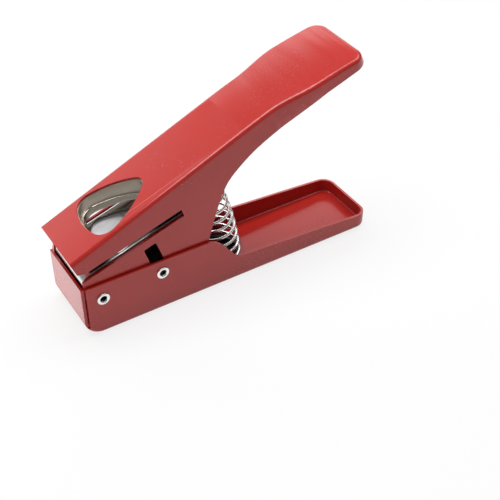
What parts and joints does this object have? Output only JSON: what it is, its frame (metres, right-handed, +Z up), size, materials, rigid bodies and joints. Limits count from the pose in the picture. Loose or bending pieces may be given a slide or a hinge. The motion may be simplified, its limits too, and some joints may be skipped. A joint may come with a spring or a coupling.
{
  "type": "guitar pick punch",
  "caption": "Hand punch of red pressed steel: a long tray base, a hinged handle over a return spring, and a pick-shaped die with a window that cuts guitar picks out of plastic card.",
  "frame": {"origin": "centre of the base's flat underside", "axes": "+X runs from the card mouth to the grip, +Y across, +Z up; the handle is drawn open"},
  "size_m": [0.159, 0.0394, 0.101],
  "materials": {
    "red_paint": "satin red powder coat on pressed sheet",
    "rivet_steel": "bright plated tube rivet",
    "spring_steel": "bright drawn wire",
    "zinc_steel": "zinc plated pressed cup",
    "plated_steel": "ground and plated plate",
    "black_steel": "black oxide steel with a slight sheen",
    "tool_steel": "ground face, dark oxide sides"
  },
  "bodies": {
    "base": {"base_tray": "red_paint", "pivot_rivet": "rivet_steel", "drive_rivet": "rivet_steel", "drive_sleeve": "rivet_steel", "return_spring": "spring_steel", "spring_locator": "zinc_steel"},
    "handle": {"handle_shell": "red_paint", "die_block": "plated_steel", "die_plate": "plated_steel", "die_screws": "black_steel", "rear_spacer": "plated_steel", "guide_plate": "plated_steel", "stack_screws": "black_steel", "spring_seat": "zinc_steel"},
    "punch": {"punch": "tool_steel", "punch_carrier": "black_steel", "punch_screws": "black_steel"}
  },
  "joints": [
    {"name": "handle_hinge", "type": "hinge", "parent": "base", "child": "handle", "pos_m": [-0.0687, 0, 0.0201], "axis": [0, 1, 0], "range_deg": [0, 17.8], "stiffness_Nm_per_rad": 4, "springref_deg": -17.19, "deforming": ["return_spring"]},
    {"name": "punch_slide", "type": "slide", "parent": "handle", "child": "punch", "axis": [-0.3057, 0, 0.9521], "range_m": [0, 0.0092]}
  ],
  "couplings": [
    {"joint": "punch_slide", "follows": "handle_hinge", "m_per_rad": 0.029554}
  ]
}
